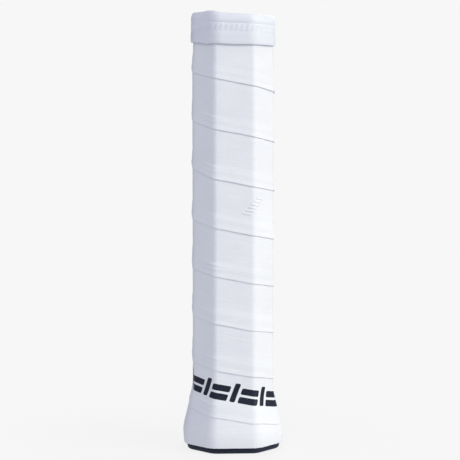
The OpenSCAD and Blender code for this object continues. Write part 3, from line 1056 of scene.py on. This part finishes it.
def build_door():
    """The door's plate with its bevelled edge and a notch to pry it by, and two prongs with catches."""
    top = door_high_corner.z - PRONG_HEIGHT
    # The plate's outline, as offsets from the opening and heights: a shallow dish, the rim and the side.
    outline = (
        (-1.9, END_RECESS + 0.22), (-1.6, END_RECESS + 0.22), (-1.4, END_RECESS), (-0.35, END_RECESS),
        (-DOOR_GAP - 0.03, END_RECESS + 0.1), (-DOOR_GAP, END_RECESS + 0.25), (-DOOR_GAP, top - 0.2),
        (-DOOR_GAP - 0.15, top)
    )
    rings = [door_octagon(offset).ring(0, z) for offset, z in outline]
    plate = loft("butt_cap_door_plate", rings, closed=False, caps=True)
    notch_radius, notch_length, notch_drop = 2.5, 7.0, 1.75
    notch_centre = (0, -DOOR_HALF_Y, END_RECESS - notch_drop)
    cut_with(plate, round_bar("notch", notch_radius, notch_length, notch_centre))
    plate.data.polygons.foreach_set("use_smooth", [True] * len(plate.data.polygons))
    plate.data.set_sharp_from_angle(angle=math.radians(30))
    finish_piece(plate, "door", door_nylon, "door_nylon", "butt_cap_door")

    reach = DOOR_HALF_Y - LEDGE - DOOR_GAP
    # A prong's thickness, how far it stands out past reach, and its height above the plate.
    prong_profile = (
        (1.5, 0, -0.3), (1.25, 0, 0.35), (1.1, 0, 1.2), (1.2, 0.09, 2.2), (1.2, 0.09, 2.9), (0.95, 0, 4.4),
        (0.6, -0.05, PRONG_HEIGHT - 0.05)
    )
    narrow_from, narrowing = 4, 0.25
    for name, side in (("front", -1), ("back", 1)):
        rings = []
        for thickness, stand, height in prong_profile:
            half_width = PRONG_HALF_WIDTH - narrowing * (height > narrow_from)
            prong = Octagon(half_width, thickness / 2, leg=0.3, radius=0.1, flat_steps=2, arc_steps=2)
            ring = prong.ring(0, top + height)
            ring[:, 1] += side * (reach + stand - thickness / 2)
            rings.append(ring)
        prong_piece = loft(f"butt_cap_door_prong_{name}", rings, closed=False, caps=True)
        finish_piece(prong_piece, "door", door_nylon, "door_nylon")


# ---- Nodes whose CAD shape stays ----

KEPT_NODES = {
    "shaft_tube_left": carbon,
    "shaft_tube_right": carbon,
    "tube_plug_left": plug_foam,
    "tube_plug_right": plug_foam,
    "pallet_front": pallet_foam,
    "pallet_back": pallet_foam,
    "pallet_adhesive": adhesive,
    "butt_cap_staples": steel,
    "base_grip_staple": steel,
    "grip_tape_start_tab": adhesive,
}


def dress_kept_nodes():
    """Gives each node that keeps its CAD shape its material."""
    for node, material in KEPT_NODES.items():
        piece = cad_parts[node]
        for slot in piece.material_slots:
            slot.material = material


# ---- Stage, lights and camera ----

SWEEP_GREY = (0.93, 0.93, 0.93)

# Each light's azimuth to the right of the front, elevation, distance, size, power and colour.
LIGHTS = {
    "key": (62, 25, 4.0, 2.1, 108, (1, 0.985, 0.84)),
    "front_fill": (-10, 35, 4.8, 3.6, 56, (0.95, 0.97, 1)),
    "back_fill": (165, 30, 4.5, 2.4, 75, (1, 0.98, 0.95)),
}


def floor_material():
    """A pale studio sweep, with only a soft contact shadow on it.

    It glows evenly on the object. From underneath it is clear, so that the butt can be seen.
    """
    m = Recipe("studio_sweep")
    bounce = (0.59, 0.60, 0.65)
    shadow_share, shadow_start, shadow_end = 0.1, 0.03, 0.16
    grain = m.noise(6, 2)
    m.set(base_color=m.ramp(grain, (0.4, (0.80, 0.80, 0.80)), (0.6, (0.81, 0.81, 0.81))), roughness=0.95)
    camera_ray = m.add("LightPath").outputs["Is Camera Ray"]
    underneath = m.add("NewGeometry").outputs["Backfacing"]
    clear = m.add("BsdfTransparent").outputs["BSDF"]
    distance = m.add("VectorMath")
    distance.operation = "LENGTH"
    m.link(m.place, distance.inputs[0])
    fade = m.span(distance.outputs["Value"], shadow_start, shadow_end, 0.0, 1.0, smooth=True)
    lit = m.math("MULTIPLY", shadow_share, m.math("SUBTRACT", 1.0, fade))
    seen = m.mix(lit, m.glow(SWEEP_GREY), m.shader.outputs["BSDF"])
    above = m.mix(camera_ray, m.glow(bounce), seen)
    m.link(m.mix(m.math("MULTIPLY", underneath, camera_ray), above, clear), m.surface)
    return m.material


def build_floor():
    reach = 3.0
    below = 0.05 * MM
    corners = [(x * reach, y * reach, -below) for x, y in ((-1, -1), (1, -1), (1, 1), (-1, 1))]
    mesh = bpy.data.meshes.new("floor")
    mesh.from_pydata(corners, [], [(0, 1, 2, 3)])
    floor = bpy.data.objects.new("floor", mesh)
    bpy.context.scene.collection.objects.link(floor)
    floor.data.materials.append(floor_material())


def build_world():
    """The camera sees the sweep's grey all round, and the object is filled by a dimmer, bluer light."""
    world = bpy.data.worlds.new("studio")
    bpy.context.scene.world = world
    world.use_nodes = True
    nodes, links = world.node_tree.nodes, world.node_tree.links
    nodes.clear()
    seen = nodes.new("ShaderNodeBackground")
    seen.inputs["Color"].default_value = (*SWEEP_GREY, 1)
    fill = nodes.new("ShaderNodeBackground")
    fill.inputs["Color"].default_value = (0.817, 0.827, 1.0, 1)
    fill.inputs["Strength"].default_value = 0.485
    path = nodes.new("ShaderNodeLightPath")
    mix = nodes.new("ShaderNodeMixShader")
    output = nodes.new("ShaderNodeOutputWorld")
    links.new(path.outputs["Is Camera Ray"], mix.inputs["Fac"])
    links.new(fill.outputs["Background"], mix.inputs[1])
    links.new(seen.outputs["Background"], mix.inputs[2])
    links.new(mix.outputs["Shader"], output.inputs["Surface"])


def area_light(name, azimuth, elevation, distance, size, power, color):
    """A soft square light that looks at the middle of the handle. Its angles are in degrees."""
    aim = Vector((0, 0, 0.1))
    a, e = math.radians(azimuth), math.radians(elevation)
    back = Vector((math.sin(a) * math.cos(e), -math.cos(a) * math.cos(e), math.sin(e)))
    light = bpy.data.lights.new(name, "AREA")
    light.shape = "SQUARE"
    light.size = size
    light.energy = power
    light.color = color
    lamp = bpy.data.objects.new(name, light)
    lamp.location = aim + back * distance
    lamp.rotation_mode = "QUATERNION"
    lamp.rotation_quaternion = (-back).to_track_quat("-Z", "Y")
    bpy.context.scene.collection.objects.link(lamp)


def build_camera():
    """Looks a little down on the handle from just left of its front, through a long lens."""
    azimuth, pitch, yaw_left = math.radians(-3), math.radians(5.49), math.radians(0.102)
    distance, height = 0.7, 0.16645
    data = bpy.data.cameras.new("camera")
    data.lens = 121.1
    data.sensor_width = 36
    data.clip_start = 0.01
    camera = bpy.data.objects.new("camera", data)
    camera.location = (math.sin(azimuth) * distance, -math.cos(azimuth) * distance, height)
    camera.rotation_euler = (math.pi / 2 - pitch, 0, azimuth + yaw_left)
    bpy.context.scene.collection.objects.link(camera)
    bpy.context.scene.camera = camera


build_camera()
build_world()
build_floor()
for name, settings in LIGHTS.items():
    area_light(name, *settings)
bpy.context.scene.view_settings.view_transform = "Standard"

build_grip_tape()
build_print()
build_emboss()
build_base_grip()
build_finishing_tape()
build_collar()
build_collar_marks()
build_butt_cap()
build_door()
dress_kept_nodes()
